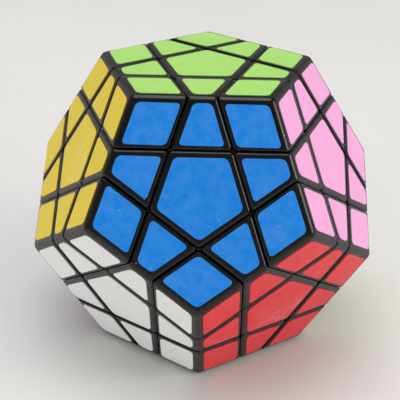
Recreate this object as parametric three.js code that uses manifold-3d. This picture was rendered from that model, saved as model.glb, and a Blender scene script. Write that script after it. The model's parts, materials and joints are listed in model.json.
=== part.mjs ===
// A twelve-faced twisty puzzle: a core with twelve arms and screws, twelve sprung centres, thirty edges
// and twenty corners, locked together by feet that run under their neighbours.
// Millimetres. The origin is the middle of the puzzle, where the twelve turning axes meet.
// +Z points out of the lime face, and the blue face leans towards -Y.
import * as THREE from "three";
import { mergeVertices } from "three/addons/utils/BufferGeometryUtils.js";
import Module from "manifold-3d";

const wasm = await Module();
wasm.setup();

// Outside
const edgeLength = 33.5; // one side of a face
const grooveInset = 13.0; // from a face's side to the middle of the groove, along the face
const gap = 0.5; // running gap between neighbours
const stickerThickness = 0.2;
const stickerToGroove = 1.35; // from the middle of the groove to the sticker
const stickerToSide = 1.65; // from the face's side to the sticker

// Mechanism
const neckAngle = 43; // half angle of the cone that a layer's stalks turn in
const footAngle = 49.5; // the same for the feet, which tuck under the neighbours
const neckLength = 7.0; // from the feet out to where the cone meets the flat cut
const footHeight = 5.7;
const shellWall = 1.8; // wall of the hollow corners and edges
const stalkWall = 1.4; // wall of every stalk and of a centre's stem
const stemDrop = 4.0; // how far a centre's stem reaches below the feet
const stemFloor = 4.6; // under the spring
const capThickness = 2.8; // over the spring chamber
const coreRadius = 11.5;
const screwRadius = 1.5;
const screwClearance = 0.25;
const screwHead = { height: 1.8, sideGap: 0.8, topGap: 1.5 };
const webSize = { wide: 6.0, high: 3.0 }; // ties between the pieces of the joined block

// Facets
const stemSegments = 16;
const stalkSegments = 9;
const screwSegments = 8;
const coreDetail = 2;

const black = { color: 0x1c1b1b, roughness: 0.38, metalness: 0.0 };
const coreBlack = { color: 0x2a2a2b, roughness: 0.5, metalness: 0.0 };

// Directions of the twelve faces, in degrees round +Z from +X and up from the XY plane
const ringTilt = THREE.MathUtils.radToDeg(Math.atan(0.5));
const faces = [
  { name: "lime", azimuth: 0, elevation: 90 },
  { name: "blue", azimuth: -90, elevation: ringTilt },
  { name: "pink", azimuth: -18, elevation: ringTilt },
  { name: "grey", azimuth: 54, elevation: ringTilt },
  { name: "orange", azimuth: 126, elevation: ringTilt },
  { name: "yellow", azimuth: 198, elevation: ringTilt },
  { name: "green", azimuth: 0, elevation: -90 },
  { name: "sky", azimuth: 90, elevation: -ringTilt },
  { name: "purple", azimuth: 162, elevation: -ringTilt },
  { name: "white", azimuth: 234, elevation: -ringTilt },
  { name: "red", azimuth: 306, elevation: -ringTilt },
  { name: "cream", azimuth: 18, elevation: -ringTilt },
];
const joinedFaces = ["grey", "sky", "cream"]; // the corner that is joined to its three edges

// Angles of a regular dodecahedron, seen from its middle
const golden = (1 + Math.sqrt(5)) / 2;
const faceToFace = Math.atan(2);
const faceToSide = faceToFace / 2;
const faceToCorner = Math.acos(Math.sqrt((5 + 2 * Math.sqrt(5)) / 15));
const sideToEndFace = Math.PI / 2 - faceToSide;
const fifth = (2 * Math.PI) / 5;

// Distances from the middle
const faceInradius = edgeLength / (2 * Math.tan(fifth / 2));
const faceDistance = (edgeLength * golden * golden) / (2 * Math.sqrt(3 - golden));
const plasticDistance = faceDistance - stickerThickness;
const grooveFromMiddle = faceInradius - grooveInset;
const cutDistance = faceDistance - grooveInset * Math.sin(faceToFace);
const reach = 3 * faceDistance; // past every piece

// A layer is what turns with one face: all that lies above its flat cut, the stalks in its neck cone
// and the feet in its foot cone. A piece keeps inside its own layers and outside all the others.
const neckCone = THREE.MathUtils.degToRad(neckAngle);
const footCone = THREE.MathUtils.degToRad(footAngle);
const footTop = cutDistance / Math.cos(neckCone) - neckLength;
const footFloor = footTop - footHeight;
const footLimit = footTop - gap / 2;
const stalkFloor = footTop + gap / 2;

const cornerStalk = footTop * Math.tan(neckCone - faceToCorner) - gap;
const cornerFootLid = footLimit * Math.cos(footCone - faceToCorner);
const cornerFootRadius = (height) => height * Math.tan(footCone - faceToCorner) - gap;

const edgeStalkAlong = footTop * Math.tan(sideToEndFace - neckCone) - 2 * gap;
const edgeStalkAcross = sideRoom(neckCone, faceToSide, footTop, edgeStalkAlong) - gap;
const edgeFootAlong = footFloor * Math.tan(sideToEndFace - footCone) - gap;
const edgeFootAcross = sideRoom(footCone, faceToSide, footFloor, edgeFootAlong) - gap;
const edgeFootLid = Math.sqrt(footLimit ** 2 - edgeFootAcross ** 2 - edgeFootAlong ** 2);

const stemRadius = footFloor * Math.sin(faceToFace - footCone) - gap;
const stemBottom = footFloor - stemDrop;
const ledge = footTop * Math.cos(faceToFace - footCone) + gap / 2;
const chamberRadius = stemRadius - stalkWall;
const chamberFloor = stemBottom + stemFloor;
const chamberTop = plasticDistance - capThickness;
const screwTop = chamberTop - screwHead.topGap;
const screwHeadRadius = chamberRadius - screwHead.sideGap;
const armTop = stemBottom - gap;

// How far to one side of a piece's axis stays within a cone about a direction that leans to the other
// side, at a height up the piece and a distance along it.
function sideRoom(cone, lean, height, along) {
  const a = Math.sin(lean) ** 2 - Math.cos(cone) ** 2;
  const b = -2 * height * Math.cos(lean) * Math.sin(lean);
  const c = (height * Math.cos(lean)) ** 2 - Math.cos(cone) ** 2 * (height ** 2 + along ** 2);
  return (-b - Math.sqrt(b * b - 4 * a * c)) / (2 * a);
}

function solidOf(geometry) {
  const bare = geometry.clone();
  bare.deleteAttribute("normal");
  bare.deleteAttribute("uv");
  const merged = mergeVertices(bare, 1e-4);
  const vertProperties = merged.attributes.position.array;
  const triVerts = new Uint32Array(merged.index.array);
  return new wasm.Manifold(new wasm.Mesh({ numProp: 3, vertProperties, triVerts }));
}

function geometryOf(solid) {
  const { vertProperties, triVerts } = solid.getMesh();
  const geometry = new THREE.BufferGeometry();
  geometry.setAttribute("position", new THREE.BufferAttribute(vertProperties, 3));
  geometry.setIndex(new THREE.BufferAttribute(triVerts, 1));
  geometry.computeVertexNormals();
  return geometry;
}

const allOf = (solids) => solids.reduce((common, solid) => common.intersect(solid));
const joined = (solids) => solids.reduce((whole, solid) => whole.add(solid));

// A turned solid about +Z, from points (distance from the axis, height).
function turnedSolid(outline, segments) {
  const points = outline.map(([radius, height]) => new THREE.Vector2(radius, height));
  return solidOf(new THREE.LatheGeometry(points, segments).rotateX(Math.PI / 2));
}

function rodSolid(radius, from, to, segments) {
  return turnedSolid([[0, from], [radius, from], [radius, to], [0, to]], segments);
}

function blockShape(wide, deep, from, to) {
  return new THREE.BoxGeometry(wide, deep, to - from).translate(0, 0, (from + to) / 2);
}

// Moves a shape from a face's own frame, with +Z out of the face, into the frame of a piece whose +Z
// leaves at an angle to the face. The face's +X leans towards the piece's axis.
function onFace(geometry, polar, azimuth) {
  return geometry.rotateZ(Math.PI).rotateY(polar).rotateZ(azimuth);
}

// All that lies between two distances along a direction.
function slab(from, to, polar, azimuth) {
  return solidOf(onFace(blockShape(reach, reach, from, to), polar, azimuth));
}

// The part of a piece's shell on its own face, thinned by an inset from the sticker side and the cut.
function ownSide(inset, polar, azimuth) {
  return slab(cutDistance + gap / 2 + inset, plasticDistance - inset, polar, azimuth);
}

// Outside a neighbouring face's layer: below its flat cut, and beside its neck cone.
function besideLayer(inset, polar, azimuth) {
  const cone = polar - neckCone + Math.PI / 2;
  const limit = gap / 2 + inset;
  return slab(-reach, cutDistance - limit, polar, azimuth).intersect(slab(-reach, -limit, cone, azimuth));
}

// Where two lines in a face cross, each given by its direction from the middle and its distance.
function crossing(angleA, distanceA, angleB, distanceB) {
  const spread = Math.sin(angleB - angleA);
  const x = (distanceA * Math.sin(angleB) - distanceB * Math.sin(angleA)) / spread;
  const y = (distanceB * Math.cos(angleA) - distanceA * Math.cos(angleB)) / spread;
  return new THREE.Vector2(x, y);
}

// A sticker on a face, let into the plastic far enough to join it.
function stickerSolid(points, polar, azimuth) {
  const depth = 2 * stickerThickness;
  const shape = new THREE.ExtrudeGeometry(new THREE.Shape(points), { depth, bevelEnabled: false });
  return solidOf(onFace(shape.translate(0, 0, faceDistance - depth), polar, azimuth));
}

const stickerOuter = faceInradius - stickerToSide;
const stickerInner = grooveFromMiddle + stickerToGroove;
const stickerMiddle = grooveFromMiddle - stickerToGroove;
const cornerSticker = [
  crossing(-fifth / 2, stickerOuter, fifth / 2, stickerOuter),
  crossing(fifth / 2, stickerOuter, -fifth / 2, stickerInner),
  crossing(fifth / 2, stickerInner, -fifth / 2, stickerInner),
  crossing(fifth / 2, stickerInner, -fifth / 2, stickerOuter),
];
const edgeSticker = [
  crossing(0, stickerOuter, -fifth, stickerMiddle),
  crossing(0, stickerOuter, fifth, stickerMiddle),
  crossing(0, stickerInner, fifth, stickerMiddle),
  crossing(0, stickerInner, -fifth, stickerMiddle),
];
const centreSticker = [0, 1, 2, 3, 4].map((k) => {
  return crossing(k * fifth, stickerMiddle, (k + 1) * fifth, stickerMiddle);
});

// +Z leaves through the corner, and the three faces lean towards azimuths 0, 120 and 240 degrees.
function cornerSolid() {
  const azimuths = [0, 1, 2].map((k) => (k * 2 * Math.PI) / 3);
  const side = (inset) => azimuths.map((azimuth) => ownSide(inset, faceToCorner, azimuth));
  const apex = (cutDistance + gap / 2) / Math.cos(faceToCorner);
  const hollowApex = apex + shellWall / Math.cos(faceToCorner);
  const stalk = turnedSolid([
    [0, footFloor],
    [cornerFootRadius(footFloor), footFloor],
    [cornerFootRadius(cornerFootLid), cornerFootLid],
    [cornerStalk, cornerFootLid],
    [cornerStalk, hollowApex],
    [0, hollowApex],
  ], stalkSegments);
  const hole = rodSolid(cornerStalk - stalkWall, 0, hollowApex + shellWall, stalkSegments);
  const stickers = azimuths.map((azimuth) => stickerSolid(cornerSticker, faceToCorner, azimuth));
  const shell = joined([allOf(side(0)), stalk, ...stickers]);
  return shell.subtract(allOf(side(shellWall))).subtract(hole);
}

// +Z leaves through the middle of the side, its two faces lean towards +X and -X, and the side runs
// along Y.
function edgeSolid() {
  const sides = [0, Math.PI];
  const ends = [Math.PI / 2, -Math.PI / 2];
  const shellOf = (inset) => allOf([
    ...sides.map((azimuth) => ownSide(inset, faceToSide, azimuth)),
    ...ends.map((azimuth) => besideLayer(inset, sideToEndFace, azimuth)),
  ]);
  const hollowFloor = (cutDistance + gap / 2 + shellWall) / Math.cos(faceToSide);
  const stalkTop = hollowFloor + shellWall / 2;
  const stalk = blockShape(2 * edgeStalkAcross, 2 * edgeStalkAlong, stalkFloor, stalkTop);
  const neck = blockShape(2 * edgeStalkAcross, 2 * edgeFootAlong, footFloor, stalkTop);
  const foot = blockShape(2 * edgeFootAcross, 2 * edgeFootAlong, footFloor, edgeFootLid);
  const channelAcross = 2 * (edgeStalkAcross - stalkWall);
  const channelAlong = 2 * (edgeFootAlong - stalkWall);
  const channel = blockShape(channelAcross, channelAlong, 0, stalkTop);
  const stickers = sides.map((azimuth) => stickerSolid(edgeSticker, faceToSide, azimuth));
  const shell = joined([shellOf(0), solidOf(stalk), solidOf(neck), solidOf(foot), ...stickers]);
  return shell.subtract(shellOf(shellWall)).subtract(solidOf(channel));
}

// +Z leaves through the middle of the face. The stem holds the spring and slides on the screw.
function centreSolid() {
  const turns = [0, 1, 2, 3, 4].map((k) => k * fifth);
  const head = allOf([
    slab(ledge, plasticDistance, 0, 0),
    ...turns.map((azimuth) => besideLayer(0, faceToFace, azimuth)),
  ]);
  const stem = rodSolid(stemRadius, stemBottom, ledge + stalkWall, stemSegments);
  const chamber = rodSolid(chamberRadius, chamberFloor, chamberTop, stemSegments);
  const bore = rodSolid(screwRadius + screwClearance, 0, chamberFloor + gap, screwSegments);
  const sticker = stickerSolid(centreSticker, 0, Math.PI);
  return joined([head, stem, sticker]).subtract(chamber).subtract(bore);
}

// One arm of the core with its screw, along +Z.
function armShape() {
  const headFloor = screwTop - screwHead.height;
  const outline = [
    [0, coreRadius / 2],
    [stemRadius, coreRadius / 2],
    [stemRadius, armTop],
    [screwRadius, armTop],
    [screwRadius, headFloor],
    [screwHeadRadius, headFloor],
    [screwHeadRadius, screwTop],
    [0, screwTop],
  ];
  const points = outline.map(([radius, height]) => new THREE.Vector2(radius, height));
  return new THREE.LatheGeometry(points, screwSegments).rotateX(Math.PI / 2);
}

function directionOf({ azimuth, elevation }) {
  const polar = THREE.MathUtils.degToRad(90 - elevation);
  const round = THREE.MathUtils.degToRad(azimuth);
  return new THREE.Vector3(
    Math.sin(polar) * Math.cos(round),
    Math.sin(polar) * Math.sin(round),
    Math.cos(polar),
  );
}

// The turn that points a piece's +Z along one direction, with its +X leaning towards another.
function turnTo(main, towards) {
  const z = main.clone().normalize();
  const x = towards.clone().addScaledVector(z, -towards.dot(z)).normalize();
  return new THREE.Matrix4().makeBasis(x, new THREE.Vector3().crossVectors(z, x), z);
}

function isNeighbour(a, b) {
  return a !== b && a.angleTo(b) < faceToFace + 0.1;
}

function centreTurn(normal, normals) {
  return turnTo(normal, normals.find((other) => isNeighbour(normal, other)));
}

// A piece that belongs to two or three faces points along the sum of their directions.
function sharedTurn(indices, normals) {
  const main = new THREE.Vector3();
  indices.forEach((i) => main.add(normals[i]));
  return turnTo(main, normals[indices[0]]);
}

function coreSolid(normals) {
  const ball = solidOf(new THREE.IcosahedronGeometry(coreRadius, coreDetail));
  const arms = normals.map((normal) => solidOf(armShape().applyMatrix4(centreTurn(normal, normals))));
  return joined([ball, ...arms]);
}

// Every pair of faces that share a side, or every three that share a corner, in the list's order.
function meetings(normals, size) {
  const found = [];
  const extend = (chosen) => {
    if (chosen.length === size) {
      found.push(chosen);
      return;
    }
    for (let i = chosen.at(-1) + 1; i < normals.length; i += 1) {
      if (chosen.every((j) => isNeighbour(normals[i], normals[j]))) extend([...chosen, i]);
    }
  };
  normals.forEach((_, i) => extend([i]));
  return found;
}

// A web across the groove between the joined corner and one of its edges, inside their walls.
function webSolid(pair, end, normals) {
  const side = new THREE.Vector3().addVectors(normals[pair[0]], normals[pair[1]]).normalize();
  const tangent = normals[end].clone().addScaledVector(side, -normals[end].dot(side)).normalize();
  const height = (cutDistance + plasticDistance) / 2 / Math.cos(faceToSide);
  const along = (cutDistance - height * Math.cos(sideToEndFace)) / Math.sin(sideToEndFace);
  const middle = side.multiplyScalar(height).addScaledVector(tangent, along);
  const half = gap / 2 + shellWall - stickerThickness;
  const web = blockShape(webSize.high, webSize.wide, -half, half);
  web.applyMatrix4(turnTo(normals[end], middle));
  return solidOf(web.translate(middle.x, middle.y, middle.z));
}

function joinedBlockSolid(triple, pairs, normals, corner, edge) {
  const placed = (geometry, indices) => {
    return solidOf(geometry.clone().applyMatrix4(sharedTurn(indices, normals)));
  };
  const edges = pairs.map((pair) => placed(edge, pair));
  const webs = pairs.map((pair) => webSolid(pair, triple.find((i) => !pair.includes(i)), normals));
  return joined([placed(corner, triple), ...edges, ...webs]);
}

function pieceMesh(name, geometry, turn, finish) {
  const mesh = new THREE.Mesh(geometry, new THREE.MeshStandardMaterial(finish));
  mesh.name = name;
  mesh.setRotationFromMatrix(turn);
  return mesh;
}

function buildPuzzle() {
  const puzzle = new THREE.Group();
  const normals = faces.map(directionOf);
  const pairs = meetings(normals, 2);
  const triples = meetings(normals, 3);
  const nameOf = (kind, indices) => [kind, ...indices.map((i) => faces[i].name)].join("_");
  const isJoined = (indices) => indices.every((i) => joinedFaces.includes(faces[i].name));
  const isSingle = (indices) => !isJoined(indices);
  const unturned = new THREE.Matrix4();

  puzzle.add(pieceMesh("core_with_screws", geometryOf(coreSolid(normals)), unturned, coreBlack));

  const centre = geometryOf(centreSolid());
  normals.forEach((normal, i) => {
    puzzle.add(pieceMesh(nameOf("centre", [i]), centre, centreTurn(normal, normals), black));
  });

  const edge = geometryOf(edgeSolid());
  pairs.filter(isSingle).forEach((pair) => {
    puzzle.add(pieceMesh(nameOf("edge", pair), edge, sharedTurn(pair, normals), black));
  });

  const corner = geometryOf(cornerSolid());
  triples.filter(isSingle).forEach((triple) => {
    puzzle.add(pieceMesh(nameOf("corner", triple), corner, sharedTurn(triple, normals), black));
  });

  const triple = triples.find(isJoined);
  const block = joinedBlockSolid(triple, pairs.filter(isJoined), normals, corner, edge);
  puzzle.add(pieceMesh(nameOf("joined_block", triple), geometryOf(block), unturned, black));
  return puzzle;
}

export default buildPuzzle();
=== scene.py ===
import bpy
import itertools
import json
import math
import random
from mathutils import Matrix, Vector


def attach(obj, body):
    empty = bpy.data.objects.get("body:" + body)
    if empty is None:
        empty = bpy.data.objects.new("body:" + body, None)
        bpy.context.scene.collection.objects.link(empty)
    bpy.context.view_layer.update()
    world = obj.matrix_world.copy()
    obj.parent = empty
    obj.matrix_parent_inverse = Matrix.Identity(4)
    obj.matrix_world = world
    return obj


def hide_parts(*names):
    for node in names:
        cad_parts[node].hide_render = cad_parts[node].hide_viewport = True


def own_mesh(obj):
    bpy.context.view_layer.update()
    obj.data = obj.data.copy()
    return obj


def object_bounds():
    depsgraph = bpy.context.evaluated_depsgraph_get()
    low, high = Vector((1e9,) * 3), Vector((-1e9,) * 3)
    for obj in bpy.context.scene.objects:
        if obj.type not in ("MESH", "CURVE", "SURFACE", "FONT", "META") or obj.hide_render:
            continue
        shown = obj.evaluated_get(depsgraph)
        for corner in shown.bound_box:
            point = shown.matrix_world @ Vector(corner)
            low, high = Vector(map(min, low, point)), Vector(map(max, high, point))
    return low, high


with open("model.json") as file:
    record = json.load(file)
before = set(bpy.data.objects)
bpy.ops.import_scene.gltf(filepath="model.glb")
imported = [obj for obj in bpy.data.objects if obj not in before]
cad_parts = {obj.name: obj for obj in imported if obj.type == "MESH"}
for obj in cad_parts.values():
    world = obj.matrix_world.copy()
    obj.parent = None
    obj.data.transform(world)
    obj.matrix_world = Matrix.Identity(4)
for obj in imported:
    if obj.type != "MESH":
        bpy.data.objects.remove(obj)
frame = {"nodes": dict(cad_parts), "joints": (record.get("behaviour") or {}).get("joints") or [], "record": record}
cadLow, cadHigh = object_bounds()
random.seed(12)
print("frame loaded")

# The puzzle's own measures, in metres
puzzle = {
    "faceDistance": (cadHigh.z - cadLow.z) / 2,  # from the middle out to a sticker's face
    "stickerThickness": 0.0002,
    "grooveInset": 0.0130,   # from a face's side to the middle of the groove
    "gap": 0.00035,          # between the flat walls of two pieces
    "neckAngle": 43.0,       # half angle of the cone that a layer's stalks turn in
    "footAngle": 49.5,       # the same for the feet
    "neckLength": 0.0070,
    "footHeight": 0.0057,
    "stemDrop": 0.0040,      # how far a centre's stem reaches below the feet
}
gap = puzzle["gap"]
golden = (1 + math.sqrt(5)) / 2
fifth = 2 * math.pi / 5
faceToFace = math.atan(2)
faceToSide = faceToFace / 2
faceToCorner = math.acos(math.sqrt((5 + 2 * math.sqrt(5)) / 15))
sideToEndFace = math.pi / 2 - faceToSide
sideLength = puzzle["faceDistance"] * 2 * math.sqrt(3 - golden) / golden ** 2
faceInradius = sideLength / (2 * math.tan(fifth / 2))
grooveFromMiddle = faceInradius - puzzle["grooveInset"]
plasticDistance = puzzle["faceDistance"] - puzzle["stickerThickness"]
cutDistance = puzzle["faceDistance"] - puzzle["grooveInset"] * math.sin(faceToFace)
neckCone, footCone = math.radians(puzzle["neckAngle"]), math.radians(puzzle["footAngle"])
footTop = cutDistance / math.cos(neckCone) - puzzle["neckLength"]
footFloor = footTop - puzzle["footHeight"]
stemBottom = footFloor - puzzle["stemDrop"]
footLimit = footTop - gap / 2
reach = 3 * puzzle["faceDistance"]  # past every piece

# Every face has a sprung centre, so the spring joints name the faces and give their directions
springStart = "spring_lift_"
springJoints = [joint for joint in frame["joints"] if joint["name"].startswith(springStart)]
faceAxes = {joint["name"][len(springStart):]: Vector(joint["axis"]).normalized() for joint in springJoints}
bodyOfNode = {node: body for body, nodes in frame["record"]["behaviour"]["bodies"].items() for node in nodes}
joinedNode = next(node for node in frame["nodes"] if node.startswith("joined_block"))
coreNode = "core_with_screws"


def makeCamera():
    setup = {
        "azimuth": 1.4, "elevation": 25.8, "roll": 0.8,  # degrees
        "distance": 0.3015, "lens": 102.1, "shift": (-0.0088, -0.0074),
    }
    azimuth, elevation = math.radians(setup["azimuth"]), math.radians(setup["elevation"])
    back = Vector((math.sin(azimuth) * math.cos(elevation),
                   -math.cos(azimuth) * math.cos(elevation),
                   math.sin(elevation)))
    right = Vector((0, 0, 1)).cross(back).normalized()
    lens = bpy.data.cameras.new("camera")
    lens.lens = setup["lens"]
    lens.shift_x, lens.shift_y = setup["shift"]
    lens.clip_start = 0.01
    camera = bpy.data.objects.new("camera", lens)
    bpy.context.scene.collection.objects.link(camera)
    turn = Matrix((right, back.cross(right), back)).transposed()
    turn = turn @ Matrix.Rotation(math.radians(setup["roll"]), 3, "Z")
    camera.matrix_world = Matrix.Translation(back * setup["distance"]) @ turn.to_4x4()
    bpy.context.scene.camera = camera


makeCamera()
print("camera set")


# Shader groups

def newGroup(name, inputs, outputs):
    tree = bpy.data.node_groups.new(name, "ShaderNodeTree")
    for label, kind, value in inputs:
        socket = tree.interface.new_socket(label, in_out="INPUT", socket_type="NodeSocket" + kind)
        socket.default_value = value
    for label, kind in outputs:
        tree.interface.new_socket(label, in_out="OUTPUT", socket_type="NodeSocket" + kind)
    return tree, tree.nodes.new("NodeGroupInput"), tree.nodes.new("NodeGroupOutput")


def feed(tree, socket, value):
    # a socket takes either a plain value or another node's output
    if isinstance(value, bpy.types.NodeSocket):
        tree.links.new(value, socket)
    else:
        socket.default_value = value


def node(tree, kind, feeds=None, **settings):
    made = tree.nodes.new("ShaderNode" + kind)
    for name, value in settings.items():
        setattr(made, name, value)
    for key, value in (feeds or {}).items():
        feed(tree, made.inputs[key], value)
    return made


def maths(tree, operation, first, second=0.0):
    return node(tree, "Math", {0: first, 1: second}, operation=operation).outputs[0]


def times(tree, first, second):
    return maths(tree, "MULTIPLY", first, second)


def ranged(tree, value, low, high, toLow=0.0, toHigh=1.0):
    feeds = {"Value": value, "From Min": low, "From Max": high, "To Min": toLow, "To Max": toHigh}
    return node(tree, "MapRange", feeds).outputs["Result"]


def blended(tree, mask, below, above):
    # colours are the last sockets of a Mix node that share their names
    mix = node(tree, "Mix", {0: mask, 6: below, 7: above}, data_type="RGBA")
    return mix.outputs[2]


def noise(tree, place, scale, detail=2.0, roughness=0.5, distortion=0.0):
    feeds = {"Vector": place, "Scale": scale, "Detail": detail,
             "Roughness": roughness, "Distortion": distortion}
    return node(tree, "TexNoise", feeds).outputs[0]


def makeGrainGroup():
    # the fine skin of a moulding or of printed vinyl: a height, and a slow drift in its shine
    tree, take, give = newGroup("skinGrain",
                                [("Grain Scale", "Float", 3000.0), ("Drift Scale", "Float", 60.0)],
                                [("Height", "Float"), ("Drift", "Float")])
    place = node(tree, "TexCoord").outputs["Object"]
    fine = noise(tree, place, take.outputs["Grain Scale"], 2.0, 0.6)
    drift = noise(tree, place, take.outputs["Drift Scale"], 3.0, 0.55, 0.4)
    feed(tree, give.inputs["Height"], fine)
    feed(tree, give.inputs["Drift"], drift)
    return tree


def makeScratchGroup():
    # hairlines in three directions, broken up so that they come and go
    hair = {
        "turns": ((0.3, 0.2, 0.5), (1.2, 0.7, 2.1), (2.3, 1.9, 1.0)),
        "stretch": (1.0, 0.045, 1.0), "halfWidth": 0.006, "patchScale": 130.0, "patchRange": (0.48, 0.68),
    }
    tree, take, give = newGroup("hairScratches", [("Scale", "Float", 220.0), ("Amount", "Float", 0.5)],
                                [("Mask", "Float")])
    place = node(tree, "TexCoord").outputs["Object"]
    total = None
    for turn in hair["turns"]:
        stretched = node(tree, "Mapping", {"Vector": place, "Rotation": turn, "Scale": hair["stretch"]})
        lines = noise(tree, stretched.outputs[0], take.outputs["Scale"], 1.0, 0.4, 0.15)
        fromLine = maths(tree, "ABSOLUTE", maths(tree, "SUBTRACT", lines, 0.5))
        thin = ranged(tree, fromLine, 0.0, hair["halfWidth"], 1.0, 0.0)
        total = thin if total is None else maths(tree, "MAXIMUM", total, thin)
    patches = ranged(tree, noise(tree, place, hair["patchScale"], 2.0), *hair["patchRange"])
    feed(tree, give.inputs["Mask"], times(tree, times(tree, total, patches), take.outputs["Amount"]))
    return tree


def makeWearAndHighlightGroup():
    # rubbed edges and painted highlights: paler where the surface is sharply convex, broken up by noise
    edgeMarkAndHighlight = {"fade": 0.08, "breakScale": 420.0, "breakRange": (0.35, 0.7)}
    tree, take, give = newGroup("edgeWearAndPaintedHighlight", [("Sharpness", "Float", 0.52), ("Amount", "Float", 0.5)],
                                [("Mask", "Float")])
    place = node(tree, "TexCoord").outputs["Object"]
    point = node(tree, "NewGeometry").outputs["Pointiness"]
    sharp = take.outputs["Sharpness"]
    convex = ranged(tree, point, sharp, maths(tree, "ADD", sharp, edgeMarkAndHighlight["fade"]))
    broken = ranged(tree, noise(tree, place, edgeMarkAndHighlight["breakScale"], 4.0, 0.65), *edgeMarkAndHighlight["breakRange"])
    feed(tree, give.inputs["Mask"], times(tree, times(tree, convex, broken), take.outputs["Amount"]))
    return tree


def makeDustGroup():
    # pale specks, one in each of a few of the cells
    speck = {"core": 0.05, "rim": 0.13, "chosen": (0.9, 0.93)}
    tree, take, give = newGroup("dustSpecks", [("Scale", "Float", 520.0), ("Amount", "Float", 0.5)],
                                [("Mask", "Float")])
    place = node(tree, "TexCoord").outputs["Object"]
    cells = node(tree, "TexVoronoi", {"Vector": place, "Scale": take.outputs["Scale"], "Randomness": 1.0})
    spots = ranged(tree, cells.outputs["Distance"], speck["core"], speck["rim"], 1.0, 0.0)
    draw = node(tree, "SeparateColor", {"Color": cells.outputs["Color"]}).outputs[0]
    chosen = ranged(tree, draw, *speck["chosen"])
    feed(tree, give.inputs["Mask"], times(tree, times(tree, spots, chosen), take.outputs["Amount"]))
    return tree


grainGroup, scratchGroup = makeGrainGroup(), makeScratchGroup()
wearAndHighlightGroup, dustGroup = makeWearAndHighlightGroup(), makeDustGroup()


# Finishes

def newFinish(name):
    material = bpy.data.materials.new(name)
    material.use_nodes = True
    tree = material.node_tree
    return material, tree, tree.nodes["Principled BSDF"]


def placed(tree, group, **feeds):
    made = tree.nodes.new("ShaderNodeGroup")
    made.node_tree = group
    for name, value in feeds.items():
        feed(tree, made.inputs[name.replace("_", " ")], value)
    return made.outputs


def bumped(tree, shader, height, distance, strength=1.0):
    bump = node(tree, "Bump", {"Height": height, "Distance": distance, "Strength": strength})
    feed(tree, shader.inputs["Normal"], bump.outputs["Normal"])


def dulled(tree, shader, drift, shine, scratches, scratchShine):
    # the shine drifts from place to place, and scratches are duller
    base = ranged(tree, drift, 0.3, 0.7, *shine)
    feed(tree, shader.inputs["Roughness"], maths(tree, "ADD", base, times(tree, scratches, scratchShine)))


def makeBlackPlastic():
    look = {
        "colour": (0.0030, 0.0027, 0.0025, 1),
        # the paler colour of rubbed edges and scratches, which on the sharp edges is also a painted highlight
        "rubbedAndHighlight": (0.035, 0.031, 0.028, 1),
        "dust": (0.55, 0.53, 0.50, 1),
        "scratched": 0.35,      # how far a scratch shows the paler colour of the rubbed and highlighted edges
        "shine": (0.20, 0.28),
        "scratchShine": 0.2,    # how much duller a scratch is
        "specular": 0.42,
        "relief": (0.000012, 0.6),
    }
    material, tree, shader = newFinish("blackPlastic")
    grain = placed(tree, grainGroup, Grain_Scale=2600.0, Drift_Scale=90.0)
    scratches = placed(tree, scratchGroup, Scale=260.0, Amount=0.55)["Mask"]
    wearAndHighlight = placed(tree, wearAndHighlightGroup, Sharpness=0.53, Amount=0.7)["Mask"]
    dust = placed(tree, dustGroup, Scale=620.0, Amount=0.5)["Mask"]
    # the sharp edges are painted paler: partly wear, partly a painted highlight
    colour = blended(tree, wearAndHighlight, look["colour"], look["rubbedAndHighlight"])
    colour = blended(tree, times(tree, scratches, look["scratched"]), colour, look["rubbedAndHighlight"])
    feed(tree, shader.inputs["Base Color"], blended(tree, dust, colour, look["dust"]))
    dulled(tree, shader, grain["Drift"], look["shine"], scratches, look["scratchShine"])
    shader.inputs["Specular IOR Level"].default_value = look["specular"]
    bumped(tree, shader, maths(tree, "SUBTRACT", grain["Height"], scratches), *look["relief"])
    return material


def makeCorePlastic():
    look = {"colour": (0.020, 0.020, 0.021, 1), "pale": (0.045, 0.045, 0.046, 1), "shine": (0.48, 0.62)}
    material, tree, shader = newFinish("corePlastic")
    grain = placed(tree, grainGroup, Grain_Scale=1500.0, Drift_Scale=70.0)
    wearAndHighlight = placed(tree, wearAndHighlightGroup, Sharpness=0.52, Amount=0.5)["Mask"]
    # the sharp edges are painted paler: partly wear, partly a painted highlight
    feed(tree, shader.inputs["Base Color"], blended(tree, wearAndHighlight, look["colour"], look["pale"]))
    feed(tree, shader.inputs["Roughness"], ranged(tree, grain["Drift"], 0.3, 0.7, *look["shine"]))
    bumped(tree, shader, grain["Height"], 0.00003, 0.7)
    return material


def makeSteel(name, colour, shine, grainScale):
    material, tree, shader = newFinish(name)
    grain = placed(tree, grainGroup, Grain_Scale=grainScale, Drift_Scale=150.0)
    scratches = placed(tree, scratchGroup, Scale=500.0, Amount=0.6)["Mask"]
    darker = tuple(0.72 * part for part in colour[:3]) + (1,)
    feed(tree, shader.inputs["Base Color"], blended(tree, grain["Drift"], colour, darker))
    dulled(tree, shader, grain["Drift"], shine, scratches, 0.15)
    shader.inputs["Metallic"].default_value = 1.0
    bumped(tree, shader, maths(tree, "SUBTRACT", grain["Height"], scratches), 0.00001, 0.7)
    return material


stickerColours = {
    "lime": (0.325, 0.610, 0.125), "blue": (0.001, 0.160, 0.535), "pink": (0.770, 0.335, 0.600),
    "grey": (0.310, 0.318, 0.325), "orange": (0.870, 0.190, 0.012), "yellow": (0.630, 0.470, 0.010),
    "green": (0.006, 0.185, 0.050), "sky": (0.185, 0.540, 0.790), "purple": (0.115, 0.022, 0.260),
    "white": (0.745, 0.745, 0.735), "red": (0.690, 0.030, 0.037), "cream": (0.880, 0.760, 0.420),
}


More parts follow.
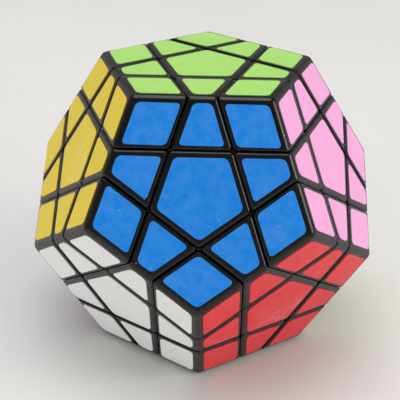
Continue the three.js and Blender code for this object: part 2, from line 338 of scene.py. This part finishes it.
def makeVinyl(name, rgb):
    # satin vinyl: a drift in tone, hairlines that scatter the light, paler cut rims that are partly a painted
    # highlight, and a little dust
    look = {
        "deepest": 0.975, "pale": (0.9, 0.22), "dust": (0.78, 0.77, 0.75, 1), "scratched": 0.12,
        "shine": (0.33, 0.37), "scratchShine": 0.15, "specular": 0.2, "relief": (0.000008, 0.3),
    }
    material, tree, shader = newFinish("vinyl_" + name)
    paleTone, paleShare = look["pale"]
    colour = tuple(rgb) + (1,)
    deeper = tuple(part * look["deepest"] for part in rgb) + (1,)
    paler = tuple(part + (paleTone - part) * paleShare for part in rgb) + (1,)
    grain = placed(tree, grainGroup, Grain_Scale=1900.0, Drift_Scale=75.0)
    scratches = placed(tree, scratchGroup, Scale=210.0, Amount=0.7)["Mask"]
    wearAndHighlight = placed(tree, wearAndHighlightGroup, Sharpness=0.54, Amount=0.55)["Mask"]
    dust = placed(tree, dustGroup, Scale=640.0, Amount=0.3)["Mask"]
    tone = blended(tree, ranged(tree, grain["Drift"], 0.35, 0.65), colour, deeper)
    marked = blended(tree, times(tree, scratches, look["scratched"]), tone, paler)
    # the cut rims are painted paler: partly the pale cut edge of the vinyl, partly a painted highlight
    rimmed = blended(tree, wearAndHighlight, marked, paler)
    feed(tree, shader.inputs["Base Color"], blended(tree, dust, rimmed, look["dust"]))
    dulled(tree, shader, grain["Drift"], look["shine"], scratches, look["scratchShine"])
    shader.inputs["Specular IOR Level"].default_value = look["specular"]
    bumped(tree, shader, maths(tree, "SUBTRACT", grain["Height"], scratches), *look["relief"])
    return material


blackPlastic, corePlastic = makeBlackPlastic(), makeCorePlastic()
screwSteel = makeSteel("screwSteel", (0.62, 0.61, 0.58, 1), (0.22, 0.36), 2200.0)
springSteel = makeSteel("springSteel", (0.45, 0.45, 0.46, 1), (0.28, 0.42), 3200.0)
vinyls = {name: makeVinyl(name, rgb) for name, rgb in stickerColours.items()}
print("finishes made")


# Modelling

def takeUp(piece):
    if bpy.context.mode != "OBJECT":
        bpy.ops.object.mode_set(mode="OBJECT")
    bpy.ops.object.select_all(action="DESELECT")
    piece.select_set(True)
    bpy.context.view_layer.objects.active = piece


def startPiece(name, addPrimitive, **where):
    bpy.ops.object.select_all(action="DESELECT")
    addPrimitive(**where)
    piece = bpy.context.object
    piece.name = name
    settle(piece)
    return piece


def settle(piece):
    # the place goes into the mesh
    takeUp(piece)
    bpy.ops.object.transform_apply(location=True, rotation=True, scale=True)


def startRod(name, radius, low, high, sides=32):
    return startPiece(name, bpy.ops.mesh.primitive_cylinder_add, vertices=sides, radius=radius,
                      depth=high - low, location=(0, 0, (low + high) / 2))


def cutBelow(piece, planes, fill=True):
    # keeps what lies below each plane, given as its direction and its distance
    takeUp(piece)
    bpy.ops.object.mode_set(mode="EDIT")
    for direction, distance in planes:
        bpy.ops.mesh.select_all(action="SELECT")
        bpy.ops.mesh.bisect(plane_co=direction * distance, plane_no=direction,
                            use_fill=fill, clear_outer=True, threshold=1e-7)
    bpy.ops.object.mode_set(mode="OBJECT")


def pickFaces(piece, wanted):
    # leaves the piece in edit mode with only the wanted faces selected
    takeUp(piece)
    bpy.ops.object.mode_set(mode="EDIT")
    bpy.ops.mesh.select_mode(type="FACE")
    bpy.ops.mesh.select_all(action="DESELECT")
    bpy.ops.object.mode_set(mode="OBJECT")
    for face in piece.data.polygons:
        face.select = wanted(face)
    bpy.ops.object.mode_set(mode="EDIT")


def facesUp(height):
    return lambda face: face.normal.z > 0.99 and abs(face.center.z - height) < 1e-6


def facesDown(height):
    return lambda face: face.normal.z < -0.99 and abs(face.center.z - height) < 1e-6


def push(distance):
    # the selected faces are extruded straight up or down
    bpy.ops.mesh.extrude_region_move(TRANSFORM_OT_translate={"value": (0, 0, distance)})


def applied(piece, kind, **settings):
    takeUp(piece)
    modifier = piece.modifiers.new(kind.lower(), kind)
    for name, value in settings.items():
        setattr(modifier, name, value)
    bpy.ops.object.modifier_apply(modifier=modifier.name)


def joinWith(piece, other, operation="UNION"):
    applied(piece, "BOOLEAN", operation=operation, object=other, solver="EXACT")
    bpy.data.objects.remove(other)


def softenEdges(piece, width):
    applied(piece, "BEVEL", width=width, segments=2, limit_method="ANGLE", angle_limit=math.radians(40))


def roundEdges(piece, widthOf, segments):
    # one bevel over all edges, each as wide as its two faces and its farther end ask for
    facesOfEdge = {}
    for face in piece.data.polygons:
        for key in face.edge_keys:
            facesOfEdge.setdefault(key, []).append(face)
    widths = []
    for edge in piece.data.edges:
        farthest = max(piece.data.vertices[index].co.length for index in edge.vertices)
        widths.append(widthOf(*facesOfEdge[edge.key], farthest))
    weights = piece.data.attributes.new("bevel_weight_edge", "FLOAT", "EDGE")
    for weight, width in zip(weights.data, widths):
        weight.value = width / max(widths)
    applied(piece, "BEVEL", width=max(widths), segments=segments, limit_method="WEIGHT", profile=0.5)


def smoothFaces(piece):
    # flat faces stay flat, and the shading turns only across the rounded edges
    takeUp(piece)
    bpy.ops.object.shade_smooth_by_angle(angle=math.radians(40))
    applied(piece, "WEIGHTED_NORMAL", mode="FACE_AREA", weight=100, keep_sharp=True)


def leaning(polar, azimuth):
    return Vector((math.sin(polar) * math.cos(azimuth), math.sin(polar) * math.sin(azimuth), math.cos(polar)))


def ownPlanes(polar, azimuth):
    # a piece lies between the outer face and the flat cut of each layer that it belongs to
    direction = leaning(polar, azimuth)
    return [(direction, plasticDistance), (-direction, -(cutDistance + gap / 2))]


def besidePlanes(polar, azimuth):
    # and it stays below the flat cut of a neighbouring layer and beside that layer's neck
    return [(leaning(polar, azimuth), cutDistance - gap / 2),
            (leaning(polar - neckCone + math.pi / 2, azimuth), -gap / 2)]


def sideRoom(cone, lean, height, along):
    # how far to one side of its axis a piece stays within a cone that leans to the other side
    a = math.sin(lean) ** 2 - math.cos(cone) ** 2
    b = -2 * height * math.cos(lean) * math.sin(lean)
    c = (height * math.cos(lean)) ** 2 - math.cos(cone) ** 2 * (height ** 2 + along ** 2)
    return (-b - math.sqrt(b * b - 4 * a * c)) / (2 * a)


edgeRounding = {
    "side": 0.00115,      # along the puzzle's outer sides, where two stickered faces meet
    "sharp": 0.00062,     # the sharp lip of a groove
    "blunt": 0.00058,     # the blunt lip of a groove
    "crossing": 0.00085,  # between two groove walls, from the lip down
    "inner": 0.00015,     # deeper inside
    "segments": 4,
}
crossingReach = 0.97 * plasticDistance  # an edge at a groove crossing comes at least this far out


def isOuter(face):
    # the outer faces lie furthest from the middle
    return abs(face.center.dot(face.normal) - plasticDistance) < 1e-6


def roundingOf(first, second, farthest):
    outer = isOuter(first) + isOuter(second)
    if outer == 2:
        return edgeRounding["side"]
    if outer == 0:
        return edgeRounding["crossing" if farthest > crossingReach else "inner"]
    return edgeRounding["sharp"] if first.normal.dot(second.normal) < 0 else edgeRounding["blunt"]


def bodyRoundingOf(first, second, farthest):
    # the upright edges of a centre's body carry on the rounding of its cap
    atSeat = first.normal.z >= 0.9 or second.normal.z >= 0.9
    return edgeRounding["inner" if atSeat or farthest <= crossingReach else "crossing"]


def makeCorner():
    corner = {"shellWall": 0.0018, "stalkWall": 0.0014, "holeDepth": 0.0075,
              "footRounding": 0.00025, "sides": 40}
    azimuths = [k * 2 * math.pi / 3 for k in range(3)]
    piece = startPiece("cornerMaster", bpy.ops.mesh.primitive_cube_add, size=reach,
                       location=(0, 0, reach / 2))
    cutBelow(piece, [plane for azimuth in azimuths for plane in ownPlanes(faceToCorner, azimuth)])
    roundEdges(piece, roundingOf, edgeRounding["segments"])

    # the foot widens upwards, and its stalk runs into the shell
    footLid = footLimit * math.cos(footCone - faceToCorner)
    floorRadius, lidRadius = (height * math.tan(footCone - faceToCorner) - gap
                              for height in (footFloor, footLid))
    stalkRadius = footTop * math.tan(neckCone - faceToCorner) - gap
    shellFloor = (cutDistance + gap / 2 + corner["shellWall"]) / math.cos(faceToCorner)
    foot = startPiece("cornerFoot", bpy.ops.mesh.primitive_cone_add, vertices=corner["sides"],
                      radius1=floorRadius, radius2=lidRadius, depth=footLid - footFloor,
                      location=(0, 0, (footFloor + footLid) / 2))
    pickFaces(foot, facesUp(footLid))
    bpy.ops.mesh.inset(thickness=lidRadius - stalkRadius)
    push(shellFloor - footLid)
    pickFaces(foot, facesDown(footFloor))
    bpy.ops.mesh.inset(thickness=floorRadius - stalkRadius + corner["stalkWall"])
    push(corner["holeDepth"])
    bpy.ops.object.mode_set(mode="OBJECT")
    softenEdges(foot, corner["footRounding"])
    joinWith(piece, foot)
    smoothFaces(piece)
    return piece


def makeEdge():
    edge = {"shellWall": 0.0018, "stalkWall": 0.0014, "holeDepth": 0.0060, "footRounding": 0.0003}
    sides, ends = (0, math.pi), (math.pi / 2, -math.pi / 2)
    piece = startPiece("edgeMaster", bpy.ops.mesh.primitive_cube_add, size=reach, location=(0, 0, reach / 2))
    planes = [plane for azimuth in sides for plane in ownPlanes(faceToSide, azimuth)]
    cutBelow(piece, planes + [plane for azimuth in ends for plane in besidePlanes(sideToEndFace, azimuth)])
    roundEdges(piece, roundingOf, edgeRounding["segments"])

    stalkAlong = footTop * math.tan(sideToEndFace - neckCone) - 2 * gap
    stalkAcross = sideRoom(neckCone, faceToSide, footTop, stalkAlong) - gap
    footAlong = footFloor * math.tan(sideToEndFace - footCone) - gap
    footAcross = sideRoom(footCone, faceToSide, footFloor, footAlong) - gap
    footLid = math.sqrt(footLimit ** 2 - footAcross ** 2 - footAlong ** 2)
    shellFloor = (cutDistance + gap / 2 + edge["shellWall"]) / math.cos(faceToSide)
    foot = startPiece("edgeFoot", bpy.ops.mesh.primitive_cube_add, size=1,
                      scale=(2 * footAcross, 2 * footAlong, footLid - footFloor),
                      location=(0, 0, (footFloor + footLid) / 2))
    pickFaces(foot, facesUp(footLid))
    push(0)
    bpy.ops.transform.resize(value=(stalkAcross / footAcross, 1, 1), center_override=(0, 0, footLid))
    push(footTop + gap / 2 - footLid)
    push(0)
    bpy.ops.transform.resize(value=(1, stalkAlong / footAlong, 1), center_override=(0, 0, footTop))
    push(shellFloor - footTop)
    pickFaces(foot, facesDown(footFloor))
    bpy.ops.mesh.inset(thickness=edge["stalkWall"])
    narrower = (stalkAcross - edge["stalkWall"]) / (footAcross - edge["stalkWall"])
    bpy.ops.transform.resize(value=(narrower, 1, 1), center_override=(0, 0, footFloor))
    push(edge["holeDepth"])
    bpy.ops.object.mode_set(mode="OBJECT")
    softenEdges(foot, edge["footRounding"])
    joinWith(piece, foot)
    smoothFaces(piece)
    return piece


centre = {
    "capThickness": 0.0016,  # the cap's plate, down to its seam with the body
    "seam": 0.00008,
    "stalkWall": 0.0014,
    "stemFloor": 0.0046,     # under the spring
    "plugDepth": 0.0012,
    "plugWall": 0.0009,
    "plugRounding": 0.0001,
    "bore": 0.00175,
    "sides": 48,
}
stemRadius = footFloor * math.sin(faceToFace - footCone) - gap
centreLedge = footTop * math.cos(faceToFace - footCone) + gap / 2
chamberRadius = stemRadius - centre["stalkWall"]
chamberFloor = stemBottom + centre["stemFloor"]
capSeat = plasticDistance - centre["capThickness"]
centreTurns = [k * fifth for k in range(5)]


def makeCentreBody():
    piece = startPiece("centreBodyMaster", bpy.ops.mesh.primitive_cube_add, size=reach, location=(0, 0, 0))
    planes = [plane for azimuth in centreTurns for plane in besidePlanes(faceToFace, azimuth)]
    cutBelow(piece, planes + [(Vector((0, 0, 1)), capSeat), (Vector((0, 0, -1)), -centreLedge)])
    roundEdges(piece, bodyRoundingOf, edgeRounding["segments"])
    sides = centre["sides"]
    joinWith(piece, startRod("stem", stemRadius, stemBottom, centreLedge + centre["stalkWall"], sides))
    joinWith(piece, startRod("chamber", chamberRadius, chamberFloor, reach, sides), "DIFFERENCE")
    joinWith(piece, startRod("bore", centre["bore"], 0, chamberFloor + gap, sides), "DIFFERENCE")
    smoothFaces(piece)
    return piece


def makeCentreCap():
    piece = startPiece("centreCapMaster", bpy.ops.mesh.primitive_cube_add, size=reach, location=(0, 0, 0))
    planes = [besidePlanes(faceToFace, azimuth)[0] for azimuth in centreTurns]
    planes += [(Vector((0, 0, 1)), plasticDistance), (Vector((0, 0, -1)), -(capSeat + centre["seam"]))]
    cutBelow(piece, planes)
    roundEdges(piece, roundingOf, edgeRounding["segments"])

    # a ring under the plate plugs into the spring chamber
    plugRadius = chamberRadius - gap / 4
    plugFloor = capSeat - centre["plugDepth"]
    plug = startRod("plug", plugRadius, plugFloor, capSeat + 4 * centre["seam"], centre["sides"])
    pickFaces(plug, facesDown(plugFloor))
    bpy.ops.mesh.inset(thickness=centre["plugWall"])
    push(centre["plugDepth"] * 0.9)
    bpy.ops.object.mode_set(mode="OBJECT")
    softenEdges(plug, centre["plugRounding"])
    joinWith(piece, plug)
    smoothFaces(piece)
    return piece


screw = {
    "radius": 0.0015, "headRadius": 0.0028, "headHeight": 0.0018, "headRounding": 0.45,
    "topGap": 0.0027,        # under the cap
    "recess": (0.0030, 0.0006), "recessDepth": 0.0010,
    "threadFrom": 0.0140,    # the shank's lower end, above its point
    "pointShare": 0.3,       # of the shank's width
    "sides": 32,
}
screwTop = plasticDistance - centre["capThickness"] - screw["topGap"]
headFloor = screwTop - screw["headHeight"]
washer = {"outer": 0.0031, "inner": 0.0017, "thick": 0.0004, "rounding": 0.00006, "sides": 40}
spring = {"wire": 0.00030, "turns": 6, "steps": 24, "sides": 10, "sideGap": 0.00025}


def makeScrew():
    # a pan head with a cross recess, over a shank that ends in a point inside the core
    piece = startRod("screwMaster", screw["headRadius"], headFloor, screwTop, screw["sides"])
    pickFaces(piece, facesUp(screwTop))
    bpy.ops.mesh.bevel(offset=screw["headHeight"] * screw["headRounding"], segments=5, affect="EDGES")
    pickFaces(piece, facesDown(headFloor))
    bpy.ops.mesh.inset(thickness=screw["headRadius"] - screw["radius"])
    push(screw["threadFrom"] - headFloor)
    push(-screw["radius"])
    bpy.ops.transform.resize(value=(screw["pointShare"], screw["pointShare"], 1), center_override=(0, 0, 0))
    bpy.ops.object.mode_set(mode="OBJECT")
    across, wide = screw["recess"]
    for size in ((across, wide), (wide, across)):
        slot = startPiece("slot", bpy.ops.mesh.primitive_cube_add, size=1,
                          scale=(*size, 2 * screw["recessDepth"]), location=(0, 0, screwTop))
        joinWith(piece, slot, "DIFFERENCE")
    smoothFaces(piece)
    return piece


def makeWasher():
    low = headFloor - washer["thick"]
    piece = startRod("washerMaster", washer["outer"], low, headFloor, washer["sides"])
    pickFaces(piece, lambda face: abs(face.normal.z) > 0.99)
    bpy.ops.mesh.inset(thickness=washer["outer"] - washer["inner"])
    bpy.ops.mesh.bridge_edge_loops()
    bpy.ops.object.mode_set(mode="OBJECT")
    softenEdges(piece, washer["rounding"])
    smoothFaces(piece)
    return piece


def makeSpring():
    # a ring of wire is screwed up from the chamber's floor to the washer
    low = chamberFloor + spring["wire"]
    high = headFloor - washer["thick"] - spring["wire"]
    coilRadius = chamberRadius - spring["wire"] - spring["sideGap"]
    piece = startPiece("springMaster", bpy.ops.mesh.primitive_circle_add, vertices=spring["sides"],
                       radius=spring["wire"], fill_type="NOTHING",
                       location=(coilRadius, 0, low), rotation=(math.pi / 2, 0, 0))
    applied(piece, "SCREW", angle=2 * math.pi, iterations=spring["turns"], steps=spring["steps"],
            render_steps=spring["steps"], screw_offset=(high - low) / spring["turns"], axis="Z")
    bpy.ops.object.mode_set(mode="EDIT")
    bpy.ops.mesh.select_mode(type="EDGE")
    bpy.ops.mesh.select_all(action="DESELECT")
    bpy.ops.mesh.select_non_manifold()
    bpy.ops.mesh.fill_holes(sides=0)
    bpy.ops.mesh.select_all(action="SELECT")
    bpy.ops.mesh.normals_make_consistent(inside=False)
    bpy.ops.object.mode_set(mode="OBJECT")
    bpy.ops.object.shade_smooth_by_angle(angle=math.radians(50))
    return piece


def makeCore():
    core = {"radius": 0.0115, "armWall": 0.0012, "armRounding": 0.0003, "sides": 24}
    piece = startPiece("core", bpy.ops.mesh.primitive_ico_sphere_add, subdivisions=4, radius=core["radius"])
    armTop = stemBottom - gap
    for axis in faceAxes.values():
        arm = startRod("arm", stemRadius, core["radius"] / 2, armTop, core["sides"])
        pickFaces(arm, facesUp(armTop))
        bpy.ops.mesh.inset(thickness=core["armWall"])
        push(-gap)
        bpy.ops.object.mode_set(mode="OBJECT")
        softenEdges(arm, core["armRounding"])
        arm.data.transform(turnTo(axis, neighbourOf(axis)))
        joinWith(piece, arm)
    smoothFaces(piece)
    return piece


def neighbourOf(axis):
    return next(other for other in faceAxes.values() if isNeighbour(axis, other))


def isNeighbour(first, second):
    return 0.1 < first.angle(second) < faceToFace + 0.1


def turnTo(main, towards):
    # points a piece's +Z along one direction, with its +X leaning towards another
    up = main.normalized()
    across = (towards - up * towards.dot(up)).normalized()
    return Matrix((across, up.cross(across), up)).transposed().to_4x4()


sticker = {
    "toGroove": 0.00135,     # from the middle of the groove
    "toSide": 0.00165,       # from the face's side
    "cornerRounding": 0.0011,
    "cornerSegments": 4,
    "rim": 0.00006,          # the bevel of its cut edge
    "slip": 0.00012,         # how far one is stuck off its place
    "tilt": 0.9,             # degrees
}


def makeSticker(name, lines):
    # a sheet cut to its outline, given as directions in degrees and distances, with round corners
    piece = startPiece(name, bpy.ops.mesh.primitive_plane_add, size=reach, location=(0, 0, plasticDistance))
    cutBelow(piece, [(leaning(math.pi / 2, math.radians(turn)), distance) for turn, distance in lines], False)
    bpy.ops.object.mode_set(mode="EDIT")
    bpy.ops.mesh.select_all(action="SELECT")
    bpy.ops.mesh.bevel(offset=sticker["cornerRounding"], segments=sticker["cornerSegments"],
                       affect="VERTICES")
    bpy.ops.mesh.select_all(action="SELECT")
    push(puzzle["stickerThickness"])
    bpy.ops.mesh.bevel(offset=sticker["rim"], segments=1, affect="EDGES")
    bpy.ops.mesh.select_all(action="SELECT")
    bpy.ops.mesh.normals_make_consistent(inside=False)
    bpy.ops.object.mode_set(mode="OBJECT")
    smoothFaces(piece)
    return piece


cornerPiece, edgePiece = makeCorner(), makeEdge()
print("corner and edge modelled")
centreBody, centreCap = makeCentreBody(), makeCentreCap()
screwPiece, washerPiece, springPiece = makeScrew(), makeWasher(), makeSpring()
print("centre, screw, washer and spring modelled")
corePiece = makeCore()
print("core modelled")

stickerOuter = faceInradius - sticker["toSide"]
stickerInner = grooveFromMiddle + sticker["toGroove"]
stickerMiddle = grooveFromMiddle - sticker["toGroove"]
cornerSticker = makeSticker("cornerStickerMaster", [(-36, stickerOuter), (36, stickerOuter),
                                                    (144, -stickerInner), (216, -stickerInner)])
edgeSticker = makeSticker("edgeStickerMaster", [(0, stickerOuter), (180, -stickerInner),
                                                (72, stickerMiddle), (-72, stickerMiddle)])
centreSticker = makeSticker("centreStickerMaster", [(72 * k, stickerMiddle) for k in range(5)])
print("stickers cut")


# Putting it together

def meetings(size):
    # every two faces that share a side, or three that share a corner, in the order of the list
    return [names for names in itertools.combinations(faceAxes, size)
            if all(isNeighbour(faceAxes[a], faceAxes[b]) for a, b in itertools.combinations(names, 2))]


def nodeOf(kind, names):
    name = "_".join([kind, *names])
    return name if name in frame["nodes"] else joinedNode


def setPiece(master, name, turn, body, slot, finish, *nodes):
    piece = master.copy()
    piece.data = master.data.copy()
    piece.name = piece.data.name = name
    piece.data.transform(turn)
    piece.data.materials.append(finish)
    bpy.context.scene.collection.objects.link(piece)
    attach(piece, body)
    if nodes:
        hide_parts(*nodes)
    return piece


def stickOn(master, face, towards, name, cadNode):
    # stuck on by hand, so each one sits a little off its place
    middle = sum((point.co for point in master.data.vertices), Vector()) / len(master.data.vertices)
    slip = Vector((random.uniform(-1, 1), random.uniform(-1, 1), 0)) * sticker["slip"]
    tilt = Matrix.Rotation(math.radians(random.uniform(-1, 1) * sticker["tilt"]), 4, "Z")
    place = Matrix.Translation(middle + slip) @ tilt @ Matrix.Translation(-middle)
    setPiece(master, name, turnTo(faceAxes[face], towards) @ place, bodyOfNode[cadNode],
             "sticker_" + face, vinyls[face], cadNode)


def setShared(master, stickerMaster, kind, names):
    axis = sum((faceAxes[name] for name in names), Vector())
    cadNode = nodeOf(kind, names)
    label = "_".join(names)
    setPiece(master, kind + "Piece_" + label, turnTo(axis, faceAxes[names[0]]), bodyOfNode[cadNode],
             "black_plastic", blackPlastic, cadNode)
    for face in names:
        stickOn(stickerMaster, face, axis, "_".join(["sticker", face, "on", kind, label]), cadNode)


def setCentre(face):
    axis = faceAxes[face]
    cadNode = nodeOf("centre", [face])
    turn = turnTo(axis, neighbourOf(axis))
    body = bodyOfNode[cadNode]
    setPiece(centreBody, "centreBody_" + face, turn, body, "black_plastic", blackPlastic, cadNode)
    setPiece(centreCap, "centreCap_" + face, turn, body, "black_plastic", blackPlastic, cadNode)
    stickOn(centreSticker, face, neighbourOf(axis), "sticker_" + face + "_on_centre", cadNode)
    setPiece(screwPiece, "screw_" + face, turn, bodyOfNode[coreNode], "screw_steel", screwSteel, coreNode)
    setPiece(washerPiece, "washer_" + face, turn, bodyOfNode[coreNode], "screw_steel", screwSteel)

    # the spring rides on the core's body and gets a mesh of its own
    coil = setPiece(springPiece, "spring_" + face, turn, bodyOfNode[coreNode], "spring_steel", springSteel)
    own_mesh(coil)


for names in meetings(3):
    setShared(cornerPiece, cornerSticker, "corner", names)
for names in meetings(2):
    setShared(edgePiece, edgeSticker, "edge", names)
for face in faceAxes:
    setCentre(face)
corePiece.data.materials.append(corePlastic)
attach(corePiece, bodyOfNode[coreNode])
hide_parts(coreNode)
for master in (cornerPiece, edgePiece, centreBody, centreCap, screwPiece, washerPiece, springPiece,
               cornerSticker, edgeSticker, centreSticker):
    bpy.data.objects.remove(master)
print("puzzle put together")


# Studio

def makeFloor():
    # a round pale floor that sweeps up into a wall far away on every side
    studio = {"radius": 2.6, "height": 1.3, "sweep": 0.9, "sides": 96,
              "tone": (0.650, 0.644, 0.636, 1), "worn": (0.622, 0.615, 0.605, 1)}
    low = -puzzle["faceDistance"]
    floor = startRod("floor", studio["radius"], low, low + studio["height"], studio["sides"])
    pickFaces(floor, facesUp(low + studio["height"]))
    bpy.ops.mesh.delete(type="FACE")
    pickFaces(floor, facesDown(low))
    bpy.ops.mesh.bevel(offset=studio["sweep"], segments=12, affect="EDGES")
    bpy.ops.mesh.select_all(action="SELECT")
    bpy.ops.mesh.flip_normals()
    bpy.ops.object.mode_set(mode="OBJECT")
    bpy.ops.object.shade_smooth_by_angle(angle=math.radians(40))

    material, tree, shader = newFinish("paleFloor")
    place = node(tree, "TexCoord").outputs["Object"]
    drift = ranged(tree, noise(tree, place, 3.0, 3.0), 0.35, 0.65)
    feed(tree, shader.inputs["Base Color"], blended(tree, drift, studio["tone"], studio["worn"]))
    feed(tree, shader.inputs["Roughness"], ranged(tree, noise(tree, place, 40.0, 3.0), 0.3, 0.7, 0.55, 0.7))
    shader.inputs["Specular IOR Level"].default_value = 0.25
    floor.data.materials.append(material)


def addLight(name, place, size, power, spread=180, mirrored=True, colour=(1, 1, 1)):
    # every light looks at the puzzle; one that isn't mirrored doesn't show in reflections
    lamp = bpy.data.lights.new(name, "AREA")
    lamp.size, lamp.energy, lamp.color, lamp.spread = size, power, colour, math.radians(spread)
    light = bpy.data.objects.new(name, lamp)
    bpy.context.scene.collection.objects.link(light)
    light.visible_glossy = mirrored
    facing = Vector(place).to_track_quat("Z", "Y").to_matrix().to_4x4()
    light.matrix_world = Matrix.Translation(place) @ facing


def lightStudio():
    room = {"colour": (1.0, 0.99, 0.98, 1), "strength": 0.86, "mirroredStrength": 0.14}
    addLight("overhead", (-0.10, 0.05, 1.10), 0.75, 5.2)
    addLight("rightWindow", (0.84, -0.26, 0.47), 0.30, 2.2, colour=(1.0, 0.99, 0.96))
    addLight("rightFill", (1.22, -1.14, 0.26), 0.56, 1.25, 70, False)
    addLight("leftFill", (-1.22, -1.14, 0.26), 0.56, 1.35, 70, False)
    world = bpy.data.worlds.new("studio")
    world.use_nodes = True
    background = world.node_tree.nodes["Background"]
    background.inputs["Color"].default_value = room["colour"]

    # the room lights the puzzle evenly but looks dim in its shiny plastic
    mirrored = node(world.node_tree, "LightPath").outputs["Is Glossy Ray"]
    strength = ranged(world.node_tree, mirrored, 0.0, 1.0, room["strength"], room["mirroredStrength"])
    feed(world.node_tree, background.inputs["Strength"], strength)
    bpy.context.scene.world = world
    bpy.context.scene.view_settings.view_transform = "Standard"


makeFloor()
lightStudio()
print("studio lit")
